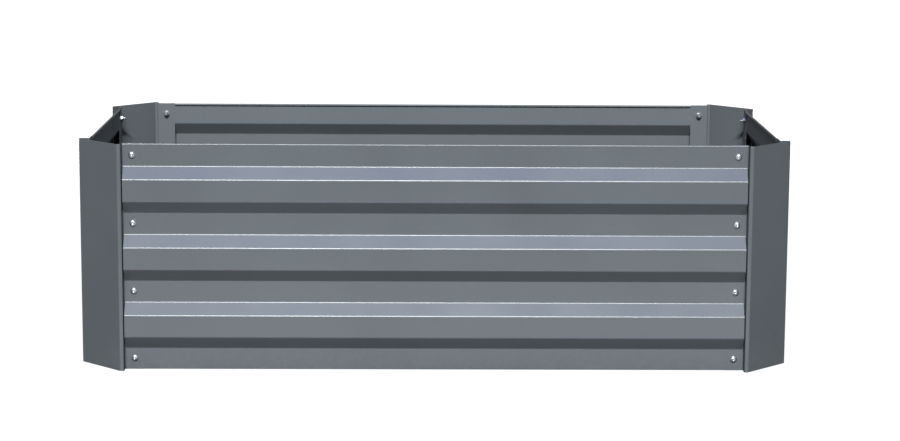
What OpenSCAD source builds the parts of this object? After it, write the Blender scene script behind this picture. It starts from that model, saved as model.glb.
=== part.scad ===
// Raised garden bed: four ribbed sheet-steel panels bolted to four folded corner pieces.
// The bed stands open at top and bottom on the ends of its corner pieces. Millimetres, +Z up.
// The origin is on the ground, in the middle of the bed. The front of the bed faces -Y.

/* [Bed] */
// Length of the bed from left to right, over the corner pieces
bed_l = 1000; // [600:10:1600]
// Width of the bed from front to back, over the corner pieces
bed_w = 500; // [360:10:1200]

/* [Sheet steel] */
// Thickness of the sheet in panels and corner pieces
sheet_t = 0.8; // [0.5:0.05:1.2]
// Inside radius of the folds in a corner piece
fold_r = 1; // [0.6:0.1:2]

/* [Ribbed panels] */
// Number of raised ribs between the troughs
rib_count = 3; // [1:1:6]
// Height from one trough to the next
rib_pitch = 95.8; // [80:0.2:130]
// Height of the flat trough that takes a row of screws
trough_h = 30.3; // [22:0.1:40]
// Height by which the top trough is taller than the others, under the rolled rim
rim_over = 1.5; // [0:0.1:6]
// Height of the slope between a trough and a rib
slope_h = 17.6; // [12:0.1:20]
// Depth of the ribs, from the face of a rib to the face of a trough
rib_d = 13; // [7:0.5:16]
// Inside radius of the bends in a panel
rib_bend_r = 3.4; // [1:0.1:5]
// Inside radius of the rolled rim along the top of a panel
rim_r = 1.2; // [0.6:0.1:1.8]

/* [Corner pieces] */
// Length that the corner cuts off each side of the bed
chamfer = 60; // [40:1:110]
// Width of the narrow strip between the corner's plate and its step
strip_w = 5.6; // [4.4:0.1:12]
// Width of the flange that lies behind the end of a panel
flange_w = 26.5; // [22:0.5:45]
// Height of a corner piece past the top and the bottom edge of a panel
corner_over = 0.4; // [0.2:0.1:4]
// Space between the end of a panel and the fold beside it
end_clear = 0.2; // [0.1:0.1:2]

/* [Screws and nuts] */
// Diameter of the screws
screw_d = 5; // [4:0.5:6]
// Length of a screw under its head
screw_l = 10; // [8.5:0.5:14]
// Height of a screw above the middle of its trough
screw_up = 0.8; // [0:0.1:2]
// Diameter of the pan head
head_d = 9.5; // [8.6:0.1:12]
// Height of the pan head
head_h = 3.7; // [2.8:0.1:5]
// Width of a nut across its flats
nut_af = 8; // [7.5:0.5:11]
// Height of a nut
nut_h = 4; // [3:0.1:5]
// Space round a screw in the holes of the sheets
hole_clear = 0.25; // [0.15:0.05:0.5]
// Space between a screw and the bore of its nut
thread_clear = 0.1; // [0.05:0.01:0.2]

/* [Hidden] */

// Rims of a head and edges of a nut
head_rim_h = 1.3;
recess_w = 1.3;
recess_l = 5.4;
recess_d = 1.9;
screw_tip = 0.7;
nut_edge_h = 0.5;
// How far a cut runs past the face that it leaves
cut_over = 2;
// Free space between the rolled rim and the flange of a corner piece
rim_clear = 0.6;
// Largest turn of one facet in a bend, in degrees
facet_turn = 10;
// Turn of the rolled rim, in degrees
rim_turn = 270;

// Heights
crest_h = rib_pitch - trough_h - 2 * slope_h;
panel_h = rib_count * rib_pitch + trough_h + rim_over;
bed_h = panel_h + 2 * corner_over;
// Places along a side, measured from the outer face of the neighbouring side
step_x = chamfer + strip_w;
panel_x = step_x + fold_r + end_clear;
screw_x = step_x + (fold_r + flange_w) / 2;
// Depths, measured inwards from the outer face of the side
trough_y = rib_d;
flange_y = rib_d + sheet_t;
nut_y = flange_y + sheet_t;
// Heights of the screws
screw_z = [for (i = [0:rib_count]) corner_over + trough_h / 2 + screw_up + i * rib_pitch];
// The middle line of the rolled rim
rim_mid_r = rim_r + sheet_t / 2;
rim_z = panel_h - rim_mid_r - sheet_t / 2;
hole_d = screw_d + 2 * hole_clear;

paint = [0.44, 0.47, 0.49];
corner_paint = [0.41, 0.44, 0.46];
zinc = [0.78, 0.79, 0.8];

$fn = 48;

// Bent sheet
// A sheet is drawn by its middle line: straight runs between corner points, with a round bend at
// each point. A face of the sheet lies at a distance to the left of that line.
function left_of(v) = [-v.y, v.x];
function turned(v, a) = [v.x * cos(a) - v.y * sin(a), v.x * sin(a) + v.y * cos(a)];
function unit(v) = v / norm(v);
function arc(centre, from, a) =
    let (n = ceil(abs(a) / facet_turn))
    [for (k = [0:n]) centre + turned(from, a * k / n)];

// One bend: the middle line comes in along d0, leaves along d1 and turns with radius r
function bend(p, d0, d1, r, side) =
    let (
        turn = atan2(cross(d0, d1), d0 * d1),
        s = sign(turn),
        start = p - d0 * r * tan(abs(turn) / 2),
        centre = start + s * r * left_of(d0)
    )
    arc(centre, -s * (r - s * side) * left_of(d0), turn);

// The whole face of a sheet along the points p
function face(p, r, side) = [
    for (i = [0:len(p) - 1])
        let (
            d0 = unit(i == 0 ? p[1] - p[0] : p[i] - p[i - 1]),
            d1 = unit(i == len(p) - 1 ? d0 : p[i + 1] - p[i])
        )
        each (i == 0 || i == len(p) - 1
            ? [p[i] + side * left_of(d0)]
            : bend(p[i], d0, d1, r, side))
];
function reversed(p) = [for (i = [len(p) - 1:-1:0]) p[i]];

// Ribbed panel
// The middle line runs up the panel: x is the depth behind the outer face, y is the height.
function rib_points(foot) = [
    [trough_y, foot + trough_h],
    [0, foot + trough_h + slope_h],
    [0, foot + trough_h + slope_h + crest_h],
    [trough_y, foot + rib_pitch]
];
panel_line = [
    for (p = concat(
        [[trough_y, 0]],
        [for (i = [0:rib_count - 1]) each rib_points(i * rib_pitch)],
        [[trough_y, rim_z]]
    )) p + [sheet_t / 2, 0]
];
function rim(side) = arc(
    [trough_y + sheet_t / 2 + rim_mid_r, rim_z], [-rim_mid_r - side, 0], -rim_turn
);
function panel_face(side) = concat(
    face(panel_line, rib_bend_r + sheet_t / 2, side),
    rim(side)
);

module panel_outline() {
    polygon(concat(panel_face(sheet_t / 2), reversed(panel_face(-sheet_t / 2))));
}

// A panel lies along X with its outer face towards -Y
module ribbed_panel(side_l) {
    half_l = side_l / 2 - panel_x;
    rim_end = side_l / 2 - step_x - flange_w - rim_clear;
    color(paint)
        difference() {
            translate([-half_l, 0, corner_over])
                rotate([90, 0, 90])
                    linear_extrude(2 * half_l)
                        panel_outline();
            for (s = [-1, 1]) {
                for (z = screw_z)
                    translate([s * (side_l / 2 - screw_x), trough_y - cut_over, z])
                        rotate([-90, 0, 0])
                            cylinder(d = hole_d, h = sheet_t + 2 * cut_over);
                // The rolled rim is cut back at both ends, so that the flanges reach the top
                translate([
                    s > 0 ? rim_end : -half_l - cut_over,
                    flange_y,
                    corner_over + rim_z - rim_mid_r - sheet_t
                ])
                    cube([
                        half_l + cut_over - rim_end,
                        2 * rim_mid_r + sheet_t + cut_over,
                        2 * rim_mid_r + 2 * sheet_t + cut_over
                    ]);
            }
        }
}

// Corner piece
// Seen from above, with the sharp corner of the bed at the origin and the bed towards +X +Y
half_t = sheet_t / 2;
plate_x = chamfer + half_t * tan(45 / 2);
corner_half = [
    [step_x + flange_w, flange_y + half_t],
    [step_x - half_t, flange_y + half_t],
    [step_x - half_t, half_t],
    [plate_x, half_t]
];
corner_line = concat(corner_half, [for (p = reversed(corner_half)) [p.y, p.x]]);

module corner_outline() {
    polygon(concat(
        face(corner_line, fold_r + half_t, half_t),
        reversed(face(corner_line, fold_r + half_t, -half_t))
    ));
}

module corner_holes() {
    for (z = screw_z)
        translate([screw_x, flange_y - cut_over, z])
            rotate([-90, 0, 0])
                cylinder(d = hole_d, h = sheet_t + 2 * cut_over);
}

module corner_piece() {
    color(corner_paint)
        difference() {
            linear_extrude(bed_h)
                corner_outline();
            corner_holes();
            mirror([1, -1, 0])
                corner_holes();
        }
}

// Screw and nut, both with the axis along +Z, which points into the bed.
// The screw's seat and the nut's seat are at zero.
module pan_screw() {
    dome_r = ((head_d / 2) ^ 2 + (head_h - head_rim_h) ^ 2) / (2 * (head_h - head_rim_h));
    color(zinc) {
        difference() {
            mirror([0, 0, 1])
                intersection() {
                    cylinder(d = head_d, h = head_h);
                    translate([0, 0, head_h - dome_r])
                        sphere(r = dome_r);
                }
            for (a = [0, 90])
                rotate([0, 0, a])
                    translate([-recess_l / 2, -recess_w / 2, -head_h - cut_over])
                        cube([recess_l, recess_w, recess_d + cut_over]);
        }
        cylinder(d = screw_d, h = screw_l - screw_tip);
        translate([0, 0, screw_l - screw_tip])
            cylinder(d1 = screw_d, d2 = screw_d - 2 * screw_tip, h = screw_tip);
    }
}

module hex_nut() {
    point_d = nut_af / cos(30);
    color(zinc)
        difference() {
            intersection() {
                cylinder(d = point_d, h = nut_h, $fn = 6);
                union() {
                    cylinder(d1 = nut_af, d2 = point_d, h = nut_edge_h);
                    translate([0, 0, nut_edge_h])
                        cylinder(d = point_d, h = nut_h - 2 * nut_edge_h);
                    translate([0, 0, nut_h - nut_edge_h])
                        cylinder(d1 = point_d, d2 = nut_af, h = nut_edge_h);
                }
            }
            translate([0, 0, -cut_over])
                cylinder(d = screw_d + 2 * thread_clear, h = nut_h + 2 * cut_over);
        }
}

// Sets the screws or nuts of one panel end: end is -1 for its left end, seen from outside
module fastener_row(side_l, end, depth) {
    for (z = screw_z)
        translate([end * (side_l / 2 - screw_x), depth, z])
            rotate([-90, 0, 0])
                children();
}

// The four sides of the bed, each drawn as the front one and turned into place
module at_front() { translate([0, -bed_w / 2, 0]) children(); }
module at_right() { rotate([0, 0, 90]) translate([0, -bed_l / 2, 0]) children(); }
module at_back() { rotate([0, 0, 180]) translate([0, -bed_w / 2, 0]) children(); }
module at_left() { rotate([0, 0, 270]) translate([0, -bed_l / 2, 0]) children(); }

module front_panel() { at_front() ribbed_panel(bed_l); }
module right_panel() { at_right() ribbed_panel(bed_w); }
module back_panel() { at_back() ribbed_panel(bed_l); }
module left_panel() { at_left() ribbed_panel(bed_w); }

module corner_front_left() { translate([-bed_l / 2, -bed_w / 2, 0]) corner_piece(); }
module corner_front_right() { translate([bed_l / 2, -bed_w / 2, 0]) rotate([0, 0, 90]) corner_piece(); }
module corner_back_right() { translate([bed_l / 2, bed_w / 2, 0]) rotate([0, 0, 180]) corner_piece(); }
module corner_back_left() { translate([-bed_l / 2, bed_w / 2, 0]) rotate([0, 0, 270]) corner_piece(); }

module screws_front_left() { at_front() fastener_row(bed_l, -1, trough_y) pan_screw(); }
module screws_front_right() { at_front() fastener_row(bed_l, 1, trough_y) pan_screw(); }
module screws_right_front() { at_right() fastener_row(bed_w, -1, trough_y) pan_screw(); }
module screws_right_back() { at_right() fastener_row(bed_w, 1, trough_y) pan_screw(); }
module screws_back_right() { at_back() fastener_row(bed_l, -1, trough_y) pan_screw(); }
module screws_back_left() { at_back() fastener_row(bed_l, 1, trough_y) pan_screw(); }
module screws_left_back() { at_left() fastener_row(bed_w, -1, trough_y) pan_screw(); }
module screws_left_front() { at_left() fastener_row(bed_w, 1, trough_y) pan_screw(); }

module nuts_front_left() { at_front() fastener_row(bed_l, -1, nut_y) hex_nut(); }
module nuts_front_right() { at_front() fastener_row(bed_l, 1, nut_y) hex_nut(); }
module nuts_right_front() { at_right() fastener_row(bed_w, -1, nut_y) hex_nut(); }
module nuts_right_back() { at_right() fastener_row(bed_w, 1, nut_y) hex_nut(); }
module nuts_back_right() { at_back() fastener_row(bed_l, -1, nut_y) hex_nut(); }
module nuts_back_left() { at_back() fastener_row(bed_l, 1, nut_y) hex_nut(); }
module nuts_left_back() { at_left() fastener_row(bed_w, -1, nut_y) hex_nut(); }
module nuts_left_front() { at_left() fastener_row(bed_w, 1, nut_y) hex_nut(); }

front_panel();
back_panel();
left_panel();
right_panel();
corner_front_left();
corner_front_right();
corner_back_right();
corner_back_left();
screws_front_left();
screws_front_right();
screws_right_front();
screws_right_back();
screws_back_right();
screws_back_left();
screws_left_back();
screws_left_front();
nuts_front_left();
nuts_front_right();
nuts_right_front();
nuts_right_back();
nuts_back_right();
nuts_back_left();
nuts_left_back();
nuts_left_front();
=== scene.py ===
"""Raised garden bed: ribbed steel panels screwed to folded corner pieces, on a white studio floor.

Everything is in metres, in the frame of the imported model: the ground is z = 0, the origin is in the
middle of the bed, and the front of the bed faces -Y.
"""

import math

import bmesh
import bpy
from mathutils import Matrix, Vector


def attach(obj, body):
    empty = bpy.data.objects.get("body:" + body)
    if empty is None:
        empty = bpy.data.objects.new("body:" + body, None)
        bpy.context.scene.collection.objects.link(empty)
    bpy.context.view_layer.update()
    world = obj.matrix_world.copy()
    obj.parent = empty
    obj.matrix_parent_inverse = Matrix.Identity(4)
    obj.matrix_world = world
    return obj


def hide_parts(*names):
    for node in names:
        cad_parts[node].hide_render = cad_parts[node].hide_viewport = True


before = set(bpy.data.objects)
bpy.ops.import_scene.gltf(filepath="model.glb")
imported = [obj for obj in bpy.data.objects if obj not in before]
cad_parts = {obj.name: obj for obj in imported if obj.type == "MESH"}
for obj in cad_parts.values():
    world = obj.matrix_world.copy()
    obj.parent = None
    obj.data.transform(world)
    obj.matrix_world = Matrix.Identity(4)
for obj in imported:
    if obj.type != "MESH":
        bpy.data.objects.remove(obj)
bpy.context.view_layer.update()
mm = 0.001


# ---- Ribbed panels ----
# Four walls, each one galvanised steel sheet, rolled through a line of shaping wheels into flat
# troughs and raised ribs. The top edge is rolled inwards into a stiff, safe rim, which is cut back
# at both ends. The sheet is punched for the screws and powder coated grey.

bed_length, bed_width = 1000 * mm, 500 * mm
sheet = 0.8 * mm
rib_count, rib_pitch = 3, 95.8 * mm
trough_height, slope_height, rib_depth = 30.3 * mm, 17.6 * mm, 13 * mm
rim_over = 1.5 * mm                 # the top trough is this much taller, under the rolled rim
rib_bend, bend_steps = 3.8 * mm, 6  # radius of the middle of the sheet in a bend, and its facets
rim_radius, rim_steps = 1.3 * mm, 10    # the same in the rolled rim
panel_foot = 0.4 * mm               # the corner pieces reach this much lower and higher
panel_inset = 66.8 * mm             # end of a panel, from the outer face of the next side
rim_inset = 92.7 * mm               # end of its rolled rim, from the same face
screw_inset = 79.35 * mm            # its outermost row of screws, from the same face
first_screw = 16.35 * mm            # height of the lowest screw, a little above its trough's middle
screw_hole = 5.5 * mm
punch_sides, punch_length = 32, 6 * mm
cut_edge_radius = 0.3 * mm          # the shears leave a slightly rounded edge, as does the paint
cut_edge_angle = math.radians(50)   # an edge that turns more sharply than this has been cut
weld = 0.002 * mm                   # points that are closer than this are one

paint_ior, paint_roughness, roughness_swing = 1.65, 0.32, 0.03
inner_dullness, smudge_dullness, dust_dullness = 0.3, 0.05, 0.2     # added to the roughness
cloud_scale, cloud_swing = 7.0, 0.045       # scales are in patterns per metre, as everywhere below
grain_scale, grain_share, grain_colour = 1100.0, 0.035, (0.5, 0.52, 0.55, 1.0)
smudge_scale, smudge_share, smudge_tone = 26.0, 0.35, 0.82
dust_scale, dust_share, dust_colour = 140.0, 0.09, (0.36, 0.345, 0.32, 1.0)
dust_top = 45 * mm                  # dust splashed up from the ground fades out at this height
thin_share, thin_tone = 0.25, 1.35  # paint is thinner, so lighter, on a cut edge
chip_scale, chip_metal, bare_zinc = 210.0, 0.85, (0.46, 0.47, 0.48, 1.0)
gloss_scale = 11.0
peel_scale, peel_strength, peel_height = 620.0, 0.03, 0.12 * mm     # orange peel
wave_scale, wave_strength, wave_height = 6.5, 0.05, 0.6 * mm        # slight buckling of the sheet


def add(tree, kind, values=None, **settings):
    """Adds a node. A value is a number, a vector, or another node's output, which gets linked."""
    node = tree.nodes.new(kind)
    for name, setting in settings.items():
        setattr(node, name, setting)
    for key, value in (values or {}).items():
        if isinstance(value, bpy.types.Node):
            value = value.outputs[0]
        if isinstance(value, bpy.types.NodeSocket):
            tree.links.new(value, node.inputs[key])
        else:
            node.inputs[key].default_value = value
    return node


def sum_of(tree, operation, a, b=0.0):
    """One step of arithmetic on two numbers or outputs."""
    return add(tree, "ShaderNodeMath", {0: a, 1: b}, operation=operation)


def noise(tree, vector, scale, detail=2.0, rough=0.5):
    """A cloudy pattern between 0 and 1."""
    return add(tree, "ShaderNodeTexNoise",
               {"Vector": vector, "Scale": scale, "Detail": detail, "Roughness": rough})


def ranged(tree, value, low, high, to_low=0.0, to_high=1.0):
    """Turns the range from low to high into that from to_low to to_high, and clips the rest."""
    return add(tree, "ShaderNodeMapRange", {
        "Value": value, "From Min": low, "From Max": high, "To Min": to_low, "To Max": to_high})


def covered(tree, share, under, over):
    """One colour under another, which covers the given share of it."""
    mix = add(tree, "ShaderNodeMix", {0: share, 6: under, 7: over}, data_type="RGBA")
    return mix.outputs[2]


def point(tree, x=0.0, y=0.0, z=0.0):
    """A place, from numbers or outputs."""
    return add(tree, "ShaderNodeCombineXYZ", {0: x, 1: y, 2: z})


def new_shape_tree(name, **inputs):
    """A Geometry Nodes tree with a named input for each size: the tree, its inputs and its end."""
    tree = bpy.data.node_groups.new(name, "GeometryNodeTree")
    for label, kind in inputs.items():
        tree.interface.new_socket(label, in_out="INPUT", socket_type="NodeSocket" + kind)
    tree.interface.new_socket("Geometry", in_out="OUTPUT", socket_type="NodeSocketGeometry")
    given = tree.nodes.new("NodeGroupInput")
    return tree, given.outputs, tree.nodes.new("NodeGroupOutput")


def bent_line(tree, points):
    """A chain of edges through the given points."""
    line = add(tree, "GeometryNodeMeshLine", {"Count": len(points)})
    which = add(tree, "GeometryNodeIndexSwitch", data_type="VECTOR")
    while len(which.index_switch_items) < len(points):
        which.index_switch_items.new()
    tree.links.new(add(tree, "GeometryNodeInputIndex").outputs[0], which.inputs["Index"])
    for i, place in enumerate(points):
        tree.links.new(place.outputs[0], which.inputs[i + 1])
    return add(tree, "GeometryNodeSetPosition", {"Geometry": line, "Position": which})


def join(tree, *parts):
    """Several shapes as one."""
    joined = tree.nodes.new("GeometryNodeJoinGeometry")
    for part in parts:
        output = part if isinstance(part, bpy.types.NodeSocket) else part.outputs[0]
        tree.links.new(output, joined.inputs[0])
    return joined


def merged(tree, part):
    """The same shape with its doubled points made one."""
    return add(tree, "GeometryNodeMergeByDistance", {"Geometry": part, "Distance": weld})


def rounded_line(tree, corners, radius, steps):
    """Rounds every corner of a chain of edges, as a folding bar or a shaping wheel does."""
    curve = add(tree, "GeometryNodeMeshToCurve", {"Mesh": merged(tree, corners)})
    fillet = add(tree, "GeometryNodeFilletCurve",
                 {"Curve": curve, "Radius": radius, "Count": steps}, mode="POLY")
    return merged(tree, add(tree, "GeometryNodeCurveToMesh", {"Curve": fillet}))


def drawn_out(tree, edges, *lengths):
    """Draws edges out along one direction, in bays of the given lengths."""
    part, edge = edges, None
    for length in lengths:
        values = {"Mesh": part, "Offset": length, "Offset Scale": 1.0}
        if edge:
            values["Selection"] = edge
        part = add(tree, "GeometryNodeExtrudeMesh", values, mode="EDGES")
        edge = part.outputs["Top"]
    return part


def thickened(tree, skin, thickness):
    """A sheet of the given thickness about its middle skin, closed all round."""
    normal = add(tree, "GeometryNodeInputNormal")
    back = sum_of(tree, "MULTIPLY", thickness, -0.5)
    offset = add(tree, "ShaderNodeVectorMath", {0: normal, "Scale": back}, operation="SCALE")
    base = add(tree, "GeometryNodeSetPosition", {"Geometry": skin, "Offset": offset})
    grown = add(tree, "GeometryNodeExtrudeMesh",
                {"Mesh": base, "Offset Scale": thickness, "Individual": False}, mode="FACES")
    return merged(tree, join(tree, grown, add(tree, "GeometryNodeFlipFaces", {"Mesh": base})))


def with_holes(tree, solid, rows, count, pitch, diameter, turns):
    """Punches rows of round holes through a sheet. Each row has the place of its lowest hole, and
    the turn that lays the punch along the hole."""
    punch = add(tree, "GeometryNodeMeshCylinder", {
        "Vertices": punch_sides, "Radius": sum_of(tree, "DIVIDE", diameter, 2.0),
        "Depth": punch_length})
    punches = []
    for place, turn in zip(rows, turns):
        row = add(tree, "GeometryNodeMeshLine",
                  {"Count": count, "Start Location": place, "Offset": point(tree, z=pitch)})
        set_out = add(tree, "GeometryNodeInstanceOnPoints",
                      {"Points": row, "Instance": punch, "Rotation": turn})
        punches.append(add(tree, "GeometryNodeRealizeInstances", {"Geometry": set_out}))
    return add(tree, "GeometryNodeMeshBoolean", {"Mesh 1": solid, "Mesh 2": join(tree, *punches)},
               operation="DIFFERENCE", solver="EXACT")


def finish_tree(tree, out, shape, material):
    """Ends a tree: a smooth, plain mesh in its material."""
    whole = add(tree, "GeometryNodeRealizeInstances", {"Geometry": shape})
    smooth = add(tree, "GeometryNodeSetShadeSmooth", {"Geometry": whole, "Shade Smooth": True})
    painted = add(tree, "GeometryNodeSetMaterial", {"Geometry": smooth, "Material": material})
    tree.links.new(painted.outputs[0], out.inputs[0])


def grown_mesh(name, tree, values):
    """Runs a tree with the given inputs and returns its result as a plain mesh."""
    holder = bpy.data.objects.new(name, bpy.data.meshes.new(name))
    bpy.context.scene.collection.objects.link(holder)
    growth = holder.modifiers.new("growth", "NODES")
    growth.node_group = tree
    for item in tree.interface.items_tree:
        if item.in_out == "INPUT":
            growth[item.identifier] = values[item.name]
    graph = bpy.context.evaluated_depsgraph_get()
    mesh = bpy.data.meshes.new_from_object(holder.evaluated_get(graph), depsgraph=graph)
    holder.modifiers.remove(growth)
    bpy.data.objects.remove(holder)
    finish = [slot for slot in mesh.materials if slot]
    mesh.materials.clear()
    mesh.materials.append(finish[0])
    mesh.polygons.foreach_set("material_index", [0] * len(mesh.polygons))
    return mesh


def edges_rounded(mesh, radius):
    """Rounds the cut edges of a solid and marks the faces of the rounding as "cut_edge"."""
    shape = bmesh.new()
    shape.from_mesh(mesh)
    bmesh.ops.remove_doubles(shape, verts=shape.verts, dist=weld)
    bmesh.ops.dissolve_degenerate(shape, edges=shape.edges, dist=weld)
    bmesh.ops.recalc_face_normals(shape, faces=shape.faces)
    mark = shape.faces.layers.float.new("cut_edge")
    sharp = [edge for edge in shape.edges
             if len(edge.link_faces) == 2 and edge.calc_face_angle(0) > cut_edge_angle]
    made = bmesh.ops.bevel(shape, geom=sharp, offset=radius, segments=2, profile=0.5,
                           affect="EDGES", clamp_overlap=True)
    for face in made["faces"]:
        face[mark] = 1.0
    for face in shape.faces:
        face.smooth = True
    shape.to_mesh(mesh)
    shape.free()


def settled(name, mesh):
    """Makes the finished object, with normals that keep flats flat and bends round."""
    piece = bpy.data.objects.new(name, mesh)
    bpy.context.scene.collection.objects.link(piece)
    even = piece.modifiers.new("even", "WEIGHTED_NORMAL")
    even.weight, even.keep_sharp = 100, True
    graph = bpy.context.evaluated_depsgraph_get()
    piece.data = bpy.data.meshes.new_from_object(piece.evaluated_get(graph), depsgraph=graph)
    piece.data.name = name
    piece.modifiers.remove(even)
    return piece


def powder_coat(name, colour, seed):
    """Semi-gloss powder coat: orange peel, faint cloudiness, smudges from handling, dust near the
    ground, and thin paint on the cut edges, where the zinc of the sheet shows in places. The side
    that faces the soil is duller than the outer one."""
    material = bpy.data.materials.new(name)
    material.use_nodes = True
    tree = material.node_tree
    shader = tree.nodes["Principled BSDF"]
    shader.inputs["IOR"].default_value = paint_ior
    coordinates = tree.nodes.new("ShaderNodeTexCoord").outputs
    place = coordinates["Object"]
    shifted = add(tree, "ShaderNodeMapping", {"Vector": place, "Location": (seed, -seed, seed)})

    def toned(factor):
        return tuple(factor * level for level in colour) + (1.0,)

    cloud = ranged(tree, noise(tree, shifted, cloud_scale, 3.0, 0.55), 0.3, 0.7)
    paint = covered(tree, cloud, toned(1.0 - cloud_swing), toned(1.0 + cloud_swing))
    grain = ranged(tree, noise(tree, shifted, grain_scale, 1.0), 0.35, 0.65, 0.0, grain_share)
    paint = covered(tree, grain, paint, grain_colour)
    wiped = add(tree, "ShaderNodeMapping", {"Vector": shifted, "Scale": (0.6, 1.0, 1.4)})
    smudge = ranged(tree, noise(tree, wiped, smudge_scale, 4.0, 0.6), 0.68, 0.76)
    paint = covered(tree, sum_of(tree, "MULTIPLY", smudge, smudge_share), paint, toned(smudge_tone))
    height = add(tree, "ShaderNodeSeparateXYZ", {0: place}).outputs["Z"]
    splashed = ranged(tree, noise(tree, shifted, dust_scale, 4.0, 0.6), 0.4, 0.75)
    dust = sum_of(tree, "MULTIPLY", ranged(tree, height, 0.0, dust_top, 1.0, 0.0), splashed)
    paint = covered(tree, sum_of(tree, "MULTIPLY", dust, dust_share), paint, dust_colour)
    edge = add(tree, "ShaderNodeAttribute", attribute_name="cut_edge").outputs["Fac"]
    paint = covered(tree, sum_of(tree, "MULTIPLY", edge, thin_share), paint, toned(thin_tone))
    worn = ranged(tree, noise(tree, shifted, chip_scale, 3.0, 0.65), 0.56, 0.66)
    chip = sum_of(tree, "MULTIPLY", edge, worn)
    paint = covered(tree, chip, paint, bare_zinc)
    tree.links.new(paint, shader.inputs["Base Color"])
    metal = sum_of(tree, "MULTIPLY", chip, chip_metal)
    tree.links.new(metal.outputs[0], shader.inputs["Metallic"])

    level = add(tree, "ShaderNodeVectorMath", {0: place, 1: (1.0, 1.0, 0.0)}, operation="MULTIPLY")
    outwards = add(tree, "ShaderNodeVectorMath", {0: level, 1: coordinates["Normal"]},
                   operation="DOT_PRODUCT").outputs["Value"]
    inner = sum_of(tree, "LESS_THAN", outwards, 0.0)
    roughness = ranged(tree, noise(tree, shifted, gloss_scale, 3.0), 0.3, 0.7,
                       paint_roughness - roughness_swing, paint_roughness + roughness_swing)
    for where, more in ((smudge, smudge_dullness), (dust, dust_dullness), (inner, inner_dullness)):
        roughness = sum_of(tree, "ADD", roughness, sum_of(tree, "MULTIPLY", where, more))
    tree.links.new(roughness.outputs[0], shader.inputs["Roughness"])

    peel = add(tree, "ShaderNodeBump", {
        "Height": noise(tree, shifted, peel_scale, 2.0, 0.4), "Strength": peel_strength,
        "Distance": peel_height})
    wave = add(tree, "ShaderNodeBump", {
        "Height": noise(tree, shifted, wave_scale, 1.0, 0.4), "Strength": wave_strength,
        "Distance": wave_height, "Normal": peel})
    tree.links.new(wave.outputs[0], shader.inputs["Normal"])
    return material


panel_paint = powder_coat("panel_powder_coat", (0.135, 0.149, 0.163), 0.0)

tree, given, out = new_shape_tree(
    "ribbed_panel", Half_length="Float", Rim_end="Float", Ribs="Int", Pitch="Float", Trough="Float",
    Slope="Float", Depth="Float", Sheet="Float", Bend="Float", Rim="Float", Rim_over="Float",
    Foot="Float", Hole="Float", Hole_end="Float", First_hole="Float")

# The section of the sheet, as its middle line: one trough and rib for each pitch, then the top
# trough and a square hook, which the rounding turns into the rolled rim.
half_sheet = sum_of(tree, "DIVIDE", given["Sheet"], 2.0)
deep = sum_of(tree, "ADD", given["Depth"], half_sheet)
slope_top = sum_of(tree, "ADD", given["Trough"], given["Slope"])
slope_foot = sum_of(tree, "SUBTRACT", given["Pitch"], given["Slope"])
one_rib = bent_line(tree, [
    point(tree, y=deep), point(tree, y=deep, z=given["Trough"]),
    point(tree, y=half_sheet, z=slope_top), point(tree, y=half_sheet, z=slope_foot),
    point(tree, y=deep, z=given["Pitch"])])
rib_feet = add(tree, "GeometryNodeMeshLine",
               {"Count": given["Ribs"], "Offset": point(tree, z=given["Pitch"])})
ribs = add(tree, "GeometryNodeRealizeInstances", {"Geometry": add(
    tree, "GeometryNodeInstanceOnPoints", {"Points": rib_feet, "Instance": one_rib})})
last_trough = sum_of(tree, "MULTIPLY", given["Ribs"], given["Pitch"])
rim_width = sum_of(tree, "MULTIPLY", given["Rim"], 2.0)
rim_back = sum_of(tree, "ADD", deep, rim_width)
rim_middle = sum_of(tree, "ADD", deep, given["Rim"])
top_trough = sum_of(tree, "ADD", given["Trough"], given["Rim_over"])
rim_top = sum_of(tree, "SUBTRACT", sum_of(tree, "ADD", last_trough, top_trough), half_sheet)
rim_low = sum_of(tree, "SUBTRACT", rim_top, rim_width)
rolled_rim = bent_line(tree, [
    point(tree, y=deep, z=last_trough), point(tree, y=deep, z=rim_top),
    point(tree, y=rim_back, z=rim_top), point(tree, y=rim_back, z=rim_low),
    point(tree, y=rim_middle, z=rim_low)])
on_line = add(tree, "ShaderNodeSeparateXYZ", {0: add(tree, "GeometryNodeInputPosition")}).outputs
below_rim = sum_of(tree, "SUBTRACT", rim_low, 1 * mm)
in_rim = add(tree, "FunctionNodeCompare", {0: on_line["Z"], 1: below_rim},
             operation="GREATER_THAN", data_type="FLOAT")
radius = add(tree, "GeometryNodeSwitch",
             {"Switch": in_rim, "False": given["Bend"], "True": given["Rim"]}, input_type="FLOAT")
steps = add(tree, "GeometryNodeSwitch",
            {"Switch": in_rim, "False": bend_steps, "True": rim_steps}, input_type="INT")
section = rounded_line(tree, join(tree, ribs, rolled_rim), radius, steps)

# The section drawn out in three bays, with the rim cut away in the two end ones, and punched.
start = point(tree, sum_of(tree, "MULTIPLY", given["Half_length"], -1.0), z=given["Foot"])
started = add(tree, "GeometryNodeSetPosition", {"Geometry": section, "Offset": start})
end_bay = sum_of(tree, "SUBTRACT", given["Half_length"], given["Rim_end"])
middle_bay = sum_of(tree, "MULTIPLY", given["Rim_end"], 2.0)
skin = drawn_out(tree, started, *(point(tree, bay) for bay in (end_bay, middle_bay, end_bay)))
spot = add(tree, "ShaderNodeSeparateXYZ", {0: add(tree, "GeometryNodeInputPosition")}).outputs
at_end = sum_of(tree, "GREATER_THAN", sum_of(tree, "ABSOLUTE", spot["X"]), given["Rim_end"])
rolled = sum_of(tree, "GREATER_THAN", spot["Y"], sum_of(tree, "ADD", deep, half_sheet))
notch = add(tree, "FunctionNodeBooleanMath", {0: at_end, 1: rolled}, operation="AND")
skin = add(tree, "GeometryNodeDeleteGeometry", {"Geometry": skin, "Selection": notch},
           domain="FACE", mode="ALL")
solid = thickened(tree, skin, given["Sheet"])
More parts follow.
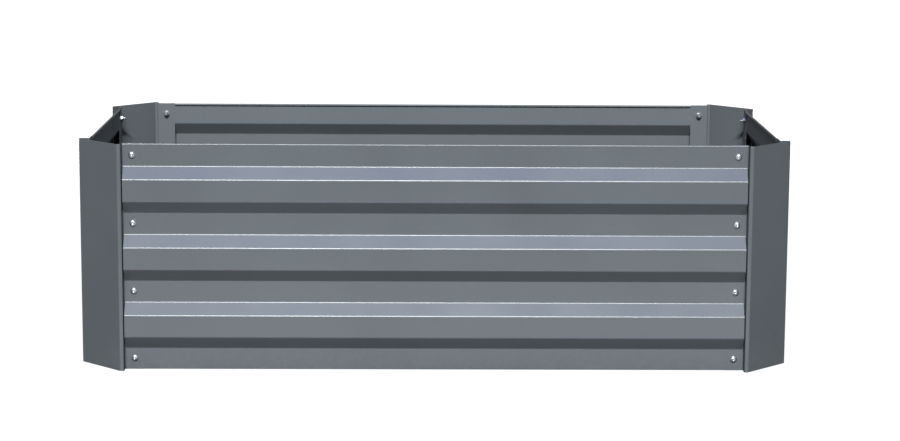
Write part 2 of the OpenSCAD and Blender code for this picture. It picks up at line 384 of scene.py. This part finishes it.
rows = [point(tree, sum_of(tree, "MULTIPLY", given["Hole_end"], end), deep, given["First_hole"])
        for end in (-1.0, 1.0)]
holes = sum_of(tree, "ADD", given["Ribs"], 1.0)
along_y = (math.pi / 2, 0, 0)       # lays the punch, which stands upright, along Y
solid = with_holes(tree, solid, rows, holes, given["Pitch"], given["Hole"], [along_y, along_y])
finish_tree(tree, out, solid, panel_paint)

side_places = {     # turn of the side about Z, in degrees, and its outer face from the middle
    "front": (0, bed_width / 2), "right": (90, bed_length / 2),
    "back": (180, bed_width / 2), "left": (270, bed_length / 2)}


def side_place(side):
    """Takes what is made for the front, about its outer face, to its own side of the bed."""
    turn, reach = side_places[side]
    return Matrix.Rotation(math.radians(turn), 4, "Z") @ Matrix.Translation((0, -reach, 0))


def half_side(side):
    """Half of the length of a side."""
    return (bed_length if side in ("front", "back") else bed_width) / 2


for side in side_places:
    half = half_side(side)
    mesh = grown_mesh("sheet", tree, {
        "Half_length": half - panel_inset, "Rim_end": half - rim_inset, "Ribs": rib_count,
        "Pitch": rib_pitch, "Trough": trough_height, "Slope": slope_height, "Depth": rib_depth,
        "Sheet": sheet, "Bend": rib_bend, "Rim": rim_radius, "Rim_over": rim_over,
        "Foot": panel_foot, "Hole": screw_hole, "Hole_end": half - screw_inset,
        "First_hole": first_screw})
    edges_rounded(mesh, cut_edge_radius)
    mesh.transform(side_place(side))
    panel = settled("panel_" + side, mesh)
    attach(panel, "root")
    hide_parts(side + "_panel")


# ---- Corner pieces ----
# One powder coated steel sheet for each corner, folded six times about upright lines in a press: a
# plate across the corner, and on both sides of it a narrow strip, a step inwards, and a flange
# behind the panel's end. The bed stands on the lower edges of these four pieces.

corner_cut, strip = 60 * mm, 5.6 * mm
flange_width, flange_depth = 26.5 * mm, 13.8 * mm
fold, fold_steps = 1.4 * mm, 8       # radius of the middle of the sheet in a fold, and its facets
bed_height = 320 * mm

# Painted shade: the colour, patchiness and reach of a dark band painted into the seam beside each
# panel's end.
seam_shade_colour, seam_patches = (0.02, 0.021, 0.022, 1.0), 60.0
seam_full, seam_unshaded = 0.3 * mm, 1.5 * mm      # where the painted shade begins to fade, and ends
seam_depth = 0.85                   # share of the flange's depth that the painted shade reaches


def painted_seam_shade(material):
    """Painted shade: near-black colour in the narrow seam beside the end of each panel, outer side
    only.
    """
    tree = material.node_tree
    colour = tree.nodes["Principled BSDF"].inputs["Base Color"]
    place = tree.nodes.new("ShaderNodeTexCoord").outputs["Object"]
    axes = add(tree, "ShaderNodeSeparateXYZ", {0: place})
    along = [sum_of(tree, "ABSOLUTE", axes.outputs[axis]) for axis in ("X", "Y")]
    halves = (bed_length / 2, bed_width / 2)
    painted_shade = 0.0
    for k in (0, 1):
        step = halves[k] - corner_cut - strip
        seam = ranged(tree, along[k], step + seam_full, step + seam_unshaded, 1.0, 0.0)
        beside = sum_of(tree, "GREATER_THAN", along[k], halves[k] - panel_inset - mm)
        seam = sum_of(tree, "MULTIPLY", seam, beside)
        floor_of_seam = halves[1 - k] - seam_depth * flange_depth
        shallow = sum_of(tree, "GREATER_THAN", along[1 - k], floor_of_seam)
        painted_shade = sum_of(tree, "MAXIMUM", painted_shade, sum_of(tree, "MULTIPLY", seam, shallow))
    patchy = ranged(tree, noise(tree, place, seam_patches, 3.0), 0.3, 0.7, 0.75, 1.0)
    share = sum_of(tree, "MULTIPLY", painted_shade, patchy)
    tree.links.new(covered(tree, share, colour.links[0].from_socket, seam_shade_colour), colour)


corner_paint = powder_coat("corner_powder_coat", (0.13, 0.144, 0.154), 3.7)
# Painted shade: darkens the corner paint in the seam beside each panel's end.
painted_seam_shade(corner_paint)

tree, given, out = new_shape_tree(
    "folded_corner", Cut="Float", Strip="Float", Step="Float", Flange="Float", Sheet="Float",
    Fold="Float", Height="Float", Hole="Float", Hole_inset="Float", First_hole="Float",
    Holes="Int", Pitch="Float")

# The section seen from above, from the sharp corner of the bed: the same half line on both sides,
# from the end of the flange to the middle of the plate across the corner.
half_sheet = sum_of(tree, "DIVIDE", given["Sheet"], 2.0)
strip_end = sum_of(tree, "ADD", given["Cut"], given["Strip"])
step_face = sum_of(tree, "SUBTRACT", strip_end, half_sheet)
behind = sum_of(tree, "ADD", given["Step"], half_sheet)
flange_end = sum_of(tree, "ADD", strip_end, given["Flange"])
half_turn = math.tan(math.radians(45 / 2))      # the plate meets a strip at 45 degrees
plate_end = sum_of(tree, "ADD", given["Cut"], sum_of(tree, "MULTIPLY", half_sheet, half_turn))
plate_middle = sum_of(tree, "DIVIDE", sum_of(tree, "ADD", plate_end, half_sheet), 2.0)
places = [(flange_end, behind), (step_face, behind), (step_face, half_sheet),
          (plate_end, half_sheet), (plate_middle, plate_middle)]
line = bent_line(tree, [point(tree, x, y) for x, y in places])
other = bent_line(tree, [point(tree, y, x) for x, y in places])
section = rounded_line(tree, join(tree, line, other), given["Fold"], fold_steps)
skin = drawn_out(tree, section, point(tree, z=given["Height"]))
solid = thickened(tree, skin, given["Sheet"])
rows = [point(tree, given["Hole_inset"], behind, given["First_hole"]),
        point(tree, behind, given["Hole_inset"], given["First_hole"])]
along_x = (0, math.pi / 2, 0)
solid = with_holes(tree, solid, rows, given["Holes"], given["Pitch"], given["Hole"],
                   [along_y, along_x])
finish_tree(tree, out, solid, corner_paint)

corner_places = {   # turn about Z, in degrees, and the side of the middle in X and in Y
    "front_left": (0, -1, -1), "front_right": (90, 1, -1),
    "back_right": (180, 1, 1), "back_left": (270, -1, 1)}

for corner, (turn, x, y) in corner_places.items():
    mesh = grown_mesh("sheet", tree, {
        "Cut": corner_cut, "Strip": strip, "Step": flange_depth, "Flange": flange_width,
        "Sheet": sheet, "Fold": fold, "Height": bed_height, "Hole": screw_hole,
        "Hole_inset": screw_inset, "First_hole": first_screw, "Holes": rib_count + 1,
        "Pitch": rib_pitch})
    edges_rounded(mesh, cut_edge_radius)
    mesh.transform(Matrix.Translation((x * bed_length / 2, y * bed_width / 2, 0))
                   @ Matrix.Rotation(math.radians(turn), 4, "Z"))
    piece = settled("folded_corner_" + corner, mesh)
    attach(piece, "root")
    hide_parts("corner_" + corner)


# ---- Screws ----
# 32 machine screws M5 x 10, zinc plated steel: a pressed pan head with a cross recess, and a rolled
# thread. They go in from outside, one in each trough at each end of a panel.

head_radius, head_height, head_rim = 4.75 * mm, 3.7 * mm, 1.3 * mm
head_sides, dome_rings = 32, 8
seat_round, seat_bevel = 0.35 * mm, 0.1 * mm    # the edge of the head beside its seat
seat_middle, seat_cone = 2.3 * mm, 0.05 * mm    # the part of its seat that the shank hides
dome_inset, rim_round = 0.12 * mm, 0.15 * mm    # the edge between the head's rim and its dome
ring_crowding = 0.8                 # under 1, the rings of the dome crowd towards its rim
recess_wing, recess_web, recess_corner = 2.7 * mm, 0.62 * mm, 0.75 * mm     # at the mouth
foot_wing, foot_web, foot_corner = 1.15 * mm, 0.42 * mm, 0.5 * mm           # at its foot
recess_mouth, recess_foot, recess_point = 0.5 * mm, 1.9 * mm, 2.2 * mm      # below the head's top
punch_above = 1 * mm                # the punch for the recess starts this far above the head
thread_radius, thread_depth, thread_pitch = 2.5 * mm, 0.42 * mm, 0.8 * mm
thread_sides, turn_rings = 20, 6    # points in a ring, and rings in one turn of the thread
thread_start, thread_run_in, thread_flank = 0.6 * mm, 0.8 * mm, 1.25
shank_length, shank_tip, shank_sunk = 10 * mm, 0.7 * mm, 0.1 * mm
screw_crease = 35                   # degrees between two faces that still shade as one
end_of_row = {"front": ("left", "right"), "right": ("front", "back"), "back": ("right", "left"),
              "left": ("back", "front")}


def zinc_plate(name, colour, roughness, scale):
    """Bright zinc plate: fine scratches, a faint change of tint, and duller spots. The scale is
    that of the spots. The tint changes over longer distances, and the scratches are finer."""
    material = bpy.data.materials.new(name)
    material.use_nodes = True
    tree = material.node_tree
    shader = tree.nodes["Principled BSDF"]
    shader.inputs["Metallic"].default_value = 1.0
    place = tree.nodes.new("ShaderNodeTexCoord").outputs["Object"]
    tint = add(tree, "ShaderNodeValToRGB", {"Fac": noise(tree, place, scale * 0.35, 3.0)})
    ends = ((0.34, (0.9, 0.92, 0.97)), (0.68, (1.05, 1.04, 1.0)))       # bluish to yellowish
    for stop, (position, factors) in zip(tint.color_ramp.elements, ends):
        stop.position = position
        stop.color = tuple(c * k for c, k in zip(colour, factors)) + (1.0,)
    tree.links.new(tint.outputs["Color"], shader.inputs["Base Color"])
    dull = ranged(tree, noise(tree, place, scale, 4.0, 0.6), 0.3, 0.72,
                  roughness - 0.07, roughness + 0.13)
    tree.links.new(dull.outputs[0], shader.inputs["Roughness"])
    streaks = add(tree, "ShaderNodeMapping", {"Vector": place, "Scale": (1.0, 0.25, 4.0)})
    relief = add(tree, "ShaderNodeBump", {
        "Height": noise(tree, streaks, scale * 1.6, 3.0), "Strength": 0.18, "Distance": 0.05 * mm})
    tree.links.new(relief.outputs[0], shader.inputs["Normal"])
    return material


def rings_joined(shape, rings):
    """Skins rings of points, each ring being as long as the next. A ring of one point is a pole."""
    made = [[shape.verts.new(place) for place in ring] for ring in rings]
    for low, high in zip(made, made[1:]):
        for k in range(max(len(low), len(high))):
            corners = []
            for vertex in (low[k % len(low)], low[(k + 1) % len(low)],
                           high[(k + 1) % len(high)], high[k % len(high)]):
                if vertex not in corners:
                    corners.append(vertex)
            shape.faces.new(corners)


def round_ring(radius, y, count):
    """A ring about the fastener's axis, which is +Y and points into the bed."""
    return [(radius * math.cos(a), y, radius * math.sin(a))
            for a in (2 * math.pi * k / count for k in range(count))]


def closed_mesh(name, shape):
    """Turns a closed shape into a mesh, without doubled points and with its faces outwards."""
    bmesh.ops.remove_doubles(shape, verts=shape.verts, dist=weld)
    bmesh.ops.recalc_face_normals(shape, faces=shape.faces)
    mesh = bpy.data.meshes.new(name)
    shape.to_mesh(mesh)
    shape.free()
    return mesh


def crisp(mesh, angle):
    """Shades a mesh smooth, apart from edges that turn by more than the angle, in degrees."""
    for polygon in mesh.polygons:
        polygon.use_smooth = True
    mesh.set_sharp_from_angle(angle=math.radians(angle))


def pan_head():
    """The blank of a head with its seat at y = 0: a short rim under a dome."""
    rise = head_height - head_rim
    dome = (head_radius ** 2 + rise ** 2) / (2 * rise)      # radius of the whole sphere
    profile = [(seat_middle, 0), (head_radius - seat_round, 0),
               (head_radius - seat_bevel, -seat_bevel), (head_radius, -seat_round),
               (head_radius, -head_rim + rim_round)]
    for k in range(dome_rings):
        radius = (head_radius - dome_inset) * (1 - k / dome_rings) ** ring_crowding
        profile.append((radius, dome - head_height - math.sqrt(dome ** 2 - radius ** 2)))
    shape = bmesh.new()
    rings_joined(shape, [[(0, seat_cone, 0)]]
                 + [round_ring(radius, y, head_sides) for radius, y in profile]
                 + [[(0, -head_height, 0)]])
    return closed_mesh("head", shape)


def cross_punch():
    """The punch that presses the cross recess: four wings, tapered towards the foot."""
    mouth, foot = [], []
    for k in range(4):
        outward = Vector((math.cos(k * math.pi / 2), math.sin(k * math.pi / 2)))
        across = Vector((-outward.y, outward.x))
        mouth += [(outward - across) * recess_corner, outward * recess_wing - across * recess_web,
                  outward * recess_wing + across * recess_web]
        foot += [(outward - across) * foot_corner, outward * foot_wing - across * foot_web,
                 outward * foot_wing + across * foot_web]
    rings = [[(0, -head_height - punch_above, 0)]]
    for outline, depth in ((mouth, -punch_above), (mouth, recess_mouth), (foot, recess_foot)):
        rings.append([(p.x, -head_height + depth, p.y) for p in outline])
    rings.append([(0, -head_height + recess_point, 0)])
    shape = bmesh.new()
    rings_joined(shape, rings)
    return closed_mesh("cross", shape)


def threaded_shank():
    """Rings of points along the shank, from a pole inside the head to the pole at its tip."""
    rings = [[(0, -2 * shank_sunk, 0)]]
    last = int(round((shank_length - shank_tip) / (thread_pitch / turn_rings)))
    for k in range(last + 1):
        y = k * thread_pitch / turn_rings
        fade = min(1.0, max(0.0, (y - thread_start) / thread_run_in))
        ring = []
        for j in range(thread_sides):
            phase = (y / thread_pitch - j / thread_sides) % 1.0
            groove = min(1.0, thread_flank * abs(2 * phase - 1))
            radius = thread_radius - thread_depth * fade * groove
            angle = 2 * math.pi * j / thread_sides
            ring.append((radius * math.cos(angle), y if k else -shank_sunk,
                         radius * math.sin(angle)))
        rings.append(ring)
    rings.append(round_ring(thread_radius - shank_tip, shank_length, thread_sides))
    rings.append([(0, shank_length, 0)])
    return rings


def screw_mesh():
    """One screw with its seat at y = 0: the head with its recess, on the threaded shank."""
    body, cutter = (bpy.data.objects.new(mesh.name, mesh) for mesh in (pan_head(), cross_punch()))
    for tool in (body, cutter):
        bpy.context.scene.collection.objects.link(tool)
    cut = body.modifiers.new("cut", "BOOLEAN")
    cut.object, cut.operation, cut.solver = cutter, "DIFFERENCE", "EXACT"
    graph = bpy.context.evaluated_depsgraph_get()
    pressed = bpy.data.meshes.new_from_object(body.evaluated_get(graph), depsgraph=graph)
    for tool in (body, cutter):
        bpy.data.objects.remove(tool)
    whole = bmesh.new()
    whole.from_mesh(pressed)
    rings_joined(whole, threaded_shank())
    mesh = closed_mesh("screw", whole)
    crisp(mesh, screw_crease)
    return mesh


def fastener_tree(name, material):
    """A row of equal fasteners, one above the other, each left at its own turn by the spanner."""
    tree, given, out = new_shape_tree(name, Fastener="Object", Count="Int", Pitch="Float",
                                      First="Vector", Turn="Float", Seed="Int")
    row = add(tree, "GeometryNodeMeshLine", {
        "Count": given["Count"], "Start Location": given["First"],
        "Offset": point(tree, z=given["Pitch"])})
    turn = add(tree, "FunctionNodeRandomValue", {2: 0.0, 3: given["Turn"], "Seed": given["Seed"]},
               data_type="FLOAT")
    one = add(tree, "GeometryNodeObjectInfo", {"Object": given["Fastener"]})
    set_out = add(tree, "GeometryNodeInstanceOnPoints", {
        "Points": row, "Instance": one.outputs["Geometry"],
        "Rotation": point(tree, y=turn.outputs[1])})
    whole = add(tree, "GeometryNodeRealizeInstances", {"Geometry": set_out})
    plated = add(tree, "GeometryNodeSetMaterial", {"Geometry": whole, "Material": material})
    tree.links.new(plated.outputs[0], out.inputs[0])
    return tree


def set_in_rows(kind, mesh, tree, depth, turn):
    """Puts a row of fasteners at both ends of every panel."""
    one = bpy.data.objects.new(kind, mesh)
    bpy.context.scene.collection.objects.link(one)
    seed = 1
    for side, ends in end_of_row.items():
        for sign, end in zip((-1, 1), ends):
            name = f"{kind}_{side}_{end}"
            first = (sign * (half_side(side) - screw_inset), depth, first_screw)
            row = grown_mesh(name, tree, {
                "Fastener": one, "Count": rib_count + 1, "Pitch": rib_pitch, "First": first,
                "Turn": turn, "Seed": seed})
            row.transform(side_place(side))
            group = bpy.data.objects.new("set_of_" + name, row)
            bpy.context.scene.collection.objects.link(group)
            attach(group, "root")
            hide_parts(name)
            seed += 1
    bpy.data.objects.remove(one)


screw_zinc = zinc_plate("screw_plating", (0.55, 0.57, 0.59), 0.42, 900.0)
screw_row = fastener_tree("screw_row", screw_zinc)
set_in_rows("screws", screw_mesh(), screw_row, rib_depth, math.pi / 2)


# ---- Nuts ----
# 32 hexagon nuts M5, cold formed steel with bright zinc plate, chamfered on both faces and
# countersunk at both ends of the bore. Each sits on the inner face of a corner piece's flange.

nut_width, nut_height, nut_bore = 8 * mm, 4 * mm, 2.6 * mm
nut_sides, nut_crease = 48, 25
chamfer_angle, chamfer_start = math.radians(28), 0.95   # share of the half width left flat
countersink, countersink_depth = 0.3 * mm, 0.35 * mm
nut_seat = flange_depth + sheet


def nut_mesh():
    """One nut with its seat at y = 0."""
    flat = nut_width / 2
    face = chamfer_start * flat

    def drop(across):
        """How far the chamfer falls at this distance from the axis."""
        return (across - face) * math.tan(chamfer_angle)

    def hexagon(y_of):
        ring = []
        for k in range(nut_sides):
            angle = 2 * math.pi * k / nut_sides
            across = flat / math.cos((angle % (math.pi / 3)) - math.pi / 6)
            ring.append((across * math.cos(angle), y_of(across), across * math.sin(angle)))
        return ring

    mouth = nut_bore + countersink
    rings = [round_ring(nut_bore, countersink_depth, nut_sides), round_ring(mouth, 0, nut_sides),
             round_ring(face, 0, nut_sides), hexagon(drop),
             hexagon(lambda across: nut_height - drop(across)),
             round_ring(face, nut_height, nut_sides), round_ring(mouth, nut_height, nut_sides),
             round_ring(nut_bore, nut_height - countersink_depth, nut_sides)]
    shape = bmesh.new()
    rings_joined(shape, rings + rings[:1])
    mesh = closed_mesh("nut", shape)
    crisp(mesh, nut_crease)
    return mesh


nut_zinc = zinc_plate("nut_plating", (0.46, 0.48, 0.5), 0.4, 700.0)
nut_row = fastener_tree("nut_row", nut_zinc)
set_in_rows("nuts", nut_mesh(), nut_row, nut_seat, math.pi / 3)


# ---- Floor and light ----
# A plain white studio floor that runs into a white surround. A long strip of light hangs in front
# of the bed, a bluish box above it, and two low boxes stand behind it. Where the paint mirrors the
# floor and the surround, they get darker overhead and behind the bed. The mirrored floor also carries
# a painted contact shadow close to the bed's front, and painted shade that deepens further out in
# front.

floor_reach = 30.0
floor_tone = (0.055, 0.065)         # for light that falls on something matt
card_width, card_tone = 0.14, 0.3   # a pale strip of it in front, which lights the ribs from below
glow_near, glow_far = (0.8, 0.84), (2.5, 1.0)           # distance from the middle, and strength
near_dark, near_white = 0.04, 0.18                      # distances in front of the bed over which the painted contact shadow in the mirrored floor fades out
# Distances in front of the bed, and the level reached, of painted light fall-off in the mirrored
# floor.
far_white, far_dark, far_level = 0.3, 1.2, 0.1
shadow_white = (0.22, 0.22, 0.22, 1)                    # how much of a shadow the white floor takes
fill_strength, fill_colour = 0.08, (0.95, 0.98, 1.0, 1.0)
behind_fade, overhead_fade = (-0.7, 0.1, 1.0, 0.15), (0.15, 0.7, 1.0, 0.25)     # range, levels
white = (1, 1, 1, 1)


def seen_directly(tree, mirrored):
    """1 for what the camera sees straight or through glass, the given value for what it sees
    mirrored, and 0 for light that falls on something matt."""
    path = tree.nodes.new("ShaderNodeLightPath").outputs
    straight = sum_of(tree, "MAXIMUM", path["Is Camera Ray"], path["Is Transmission Ray"])
    in_gloss = sum_of(tree, "MULTIPLY", path["Is Glossy Ray"], mirrored)
    return sum_of(tree, "MAXIMUM", straight, in_gloss)


floor_material = bpy.data.materials.new("studio_floor")
floor_material.use_nodes = True
tree = floor_material.node_tree
tree.nodes.remove(tree.nodes["Principled BSDF"])
ground = tree.nodes.new("ShaderNodeTexCoord").outputs["Object"]
from_middle = add(tree, "ShaderNodeVectorMath", {0: ground}, operation="LENGTH").outputs["Value"]
depth = add(tree, "ShaderNodeSeparateXYZ", {0: ground}).outputs["Y"]
before = sum_of(tree, "SUBTRACT", sum_of(tree, "MULTIPLY", depth, -1.0), bed_width / 2)
tone = ranged(tree, noise(tree, ground, 40.0, 3.0), 0.0, 1.0, *floor_tone)
card = sum_of(tree, "MULTIPLY", ranged(tree, before, 0.0, card_width, card_tone, 0.0),
              sum_of(tree, "GREATER_THAN", before, 0.0))
matt = add(tree, "ShaderNodeBsdfDiffuse", {"Color": sum_of(tree, "MAXIMUM", tone, card)})
glow = ranged(tree, from_middle, glow_near[0], glow_far[0], glow_near[1], glow_far[1])
bright = add(tree, "ShaderNodeAddShader", {
    0: add(tree, "ShaderNodeEmission", {"Color": white, "Strength": glow}),
    1: add(tree, "ShaderNodeBsdfDiffuse", {"Color": shadow_white})})
# Painted shadow and shade: the floor as the paint mirrors it, dark close to the bed's front and
# dimmer far out.
mirrored = sum_of(tree, "MULTIPLY", ranged(tree, before, near_dark, near_white),
                  ranged(tree, before, far_white, far_dark, 1.0, far_level))
mixed = add(tree, "ShaderNodeMixShader", {0: seen_directly(tree, mirrored), 1: matt, 2: bright})
tree.links.new(mixed.outputs[0], tree.nodes["Material Output"].inputs["Surface"])

floor_mesh = bpy.data.meshes.new("floor")
floor_corners = [(x * floor_reach, y * floor_reach, 0)
                 for x, y in ((-1, -1), (1, -1), (1, 1), (-1, 1))]
floor_mesh.from_pydata(floor_corners, [], [(0, 1, 2, 3)])
floor_mesh.materials.append(floor_material)
floor = bpy.data.objects.new("floor", floor_mesh)
bpy.context.scene.collection.objects.link(floor)

world = bpy.data.worlds.new("surround")
world.use_nodes = True
bpy.context.scene.world = world
tree = world.node_tree
tree.nodes.remove(tree.nodes["Background"])
fill = add(tree, "ShaderNodeBackground", {"Color": fill_colour, "Strength": fill_strength})
seen = add(tree, "ShaderNodeBackground", {"Color": white, "Strength": 1.0})
direction = tree.nodes.new("ShaderNodeTexCoord").outputs["Generated"]
facing = add(tree, "ShaderNodeSeparateXYZ", {0: direction}).outputs
behind = ranged(tree, facing["Y"], *behind_fade)
overhead = ranged(tree, facing["Z"], *overhead_fade)
graded = sum_of(tree, "MULTIPLY", behind, overhead)
surround = add(tree, "ShaderNodeMixShader", {0: seen_directly(tree, graded), 1: fill, 2: seen})
tree.links.new(surround.outputs[0], tree.nodes["World Output"].inputs["Surface"])

lit_spot = Vector((0, -0.1, 0.16))
soft_boxes = {      # azimuth and elevation in degrees, distance, width, height, watts, colour
    "front_strip": (-2, 40, 20.0, 5.8, 0.9, 4850, (0.95, 1.0, 1.0)),
    "high_box": (0, 70, 20.0, 12.0, 3.0, 230, (0.5, 0.6, 2.0)),
    "rear_left_box": (-142, 0, 3.2, 1.6, 0.28, 70, (1.0, 1.0, 1.0)),
    "rear_right_box": (142, 0, 3.2, 1.6, 0.28, 70, (1.0, 1.0, 1.0)),
}
for name, (azimuth, elevation, distance, width, height, watts, colour) in soft_boxes.items():
    light = bpy.data.lights.new(name, "AREA")
    light.shape, light.size, light.size_y = "RECTANGLE", width, height
    light.energy, light.color = watts, colour
    lamp = bpy.data.objects.new(name, light)
    bpy.context.scene.collection.objects.link(lamp)
    around, up = math.radians(azimuth), math.radians(elevation)
    away = Vector((math.sin(around) * math.cos(up), -math.cos(around) * math.cos(up), math.sin(up)))
    lamp.location = lit_spot + distance * away
    lamp.rotation_euler = (-away).to_track_quat("-Z", "Y").to_euler()
    lamp.visible_camera = False


# ---- Camera ----
# A long lens on a tripod before the bed, a little above the rim and almost square to the front. Its
# place and its three angles, in radians, were fitted to the photo together with the bed's sizes.

camera_place = (-0.03125, -3.507162, 0.761305)
camera_swing, camera_tilt, camera_roll = -0.01575, 0.16611, 0.00605

camera_data = bpy.data.cameras.new("camera")
camera_data.sensor_width, camera_data.lens = 36.0, 95.262
camera_data.clip_start, camera_data.clip_end = 0.1, 100.0
camera = bpy.data.objects.new("camera", camera_data)
bpy.context.scene.collection.objects.link(camera)
camera.location = camera_place
camera.rotation_euler = (Matrix.Rotation(camera_swing, 3, "Z")
                         @ Matrix.Rotation(math.pi / 2 - camera_tilt, 3, "X")
                         @ Matrix.Rotation(camera_roll, 3, "Z")).to_euler()
bpy.context.scene.camera = camera
bpy.context.scene.view_settings.view_transform = "Standard"
